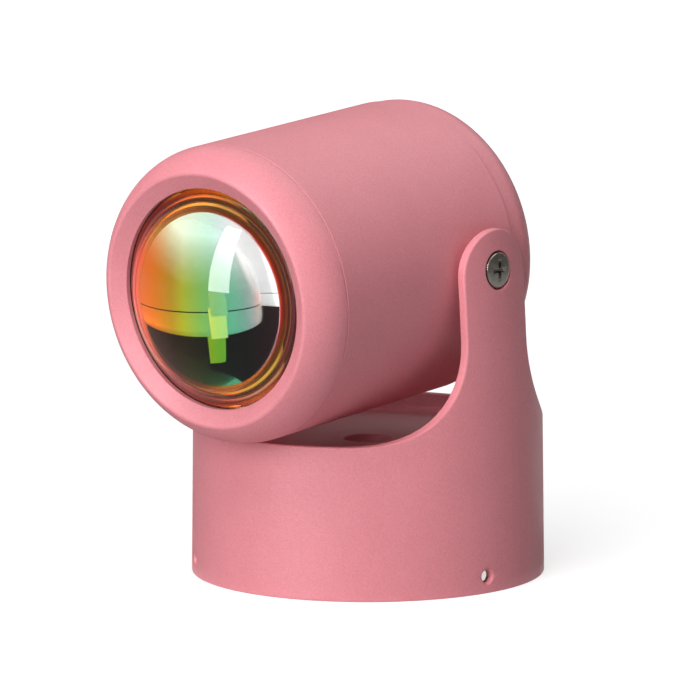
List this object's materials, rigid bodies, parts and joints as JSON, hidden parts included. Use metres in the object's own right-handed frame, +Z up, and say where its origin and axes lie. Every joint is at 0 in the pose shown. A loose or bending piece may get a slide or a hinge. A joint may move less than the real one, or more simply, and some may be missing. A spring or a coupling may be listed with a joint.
{
  "type": "projection lamp",
  "caption": "Small projection lamp: a round head with a domed lens and rounded end caps tilts on two screws between the ears of a round open base with a deck.",
  "frame": {"origin": "on the table at the centre of the base's standing rim", "axes": "+Z up; +X along the tilt axis; the lens looks towards -Y"},
  "size_m": [0.08, 0.1034, 0.1059],
  "materials": {
    "pink_powder_coat": "fine-texture powder coat, soft sheen",
    "lens_glass": "polished clear glass",
    "clear_lens": "polished clear lens",
    "filter_mirror": "dichroic mirror, orange to green with the angle of view",
    "copper_anodised": "turned, orange-red anodised",
    "black_anodised": "matt black anodised",
    "bare_aluminium": "as machined",
    "screw_steel": "nickel plated",
    "black_plastic": "moulded",
    "black_rubber": "matt",
    "white_nylon": "natural nylon",
    "white_board": "white solder mask",
    "green_board": "green solder mask",
    "emitter_phosphor": "silicone phosphor",
    "wire_insulation": "smooth insulation"
  },
  "bodies": {
    "base": {"base_shell": "pink_powder_coat"},
    "head": {"head_barrel": "pink_powder_coat", "front_bezel": "pink_powder_coat", "rear_cap": "pink_powder_coat", "projection_lens": "lens_glass", "lens_gasket": "black_rubber", "colour_filter": "filter_mirror", "filter_holder": "copper_anodised", "retaining_ring": "black_anodised", "light_tube": "black_plastic", "light_tube_screws": "screw_steel", "collector_lens": "clear_lens", "light_emitter": "emitter_phosphor", "lamp_board": "white_board", "lamp_board_screws": "screw_steel", "heat_sink": "bare_aluminium", "lamp_leads": "wire_insulation", "driver_board": "green_board", "driver_parts": "black_plastic", "driver_screws": "screw_steel", "rear_cap_screws": "screw_steel", "cord_gland": "black_plastic", "gland_nut": "screw_steel", "pivot_screws": "screw_steel", "pivot_spring_washers": "screw_steel", "pivot_nuts": "screw_steel", "friction_washers": "white_nylon"}
  },
  "joints": [
    {"name": "head_tilt", "type": "hinge", "parent": "base", "child": "head", "pos_m": [0, 0, 0.0718], "axis": [-1, 0, 0], "range_deg": [-0.8, 189.2]}
  ]
}
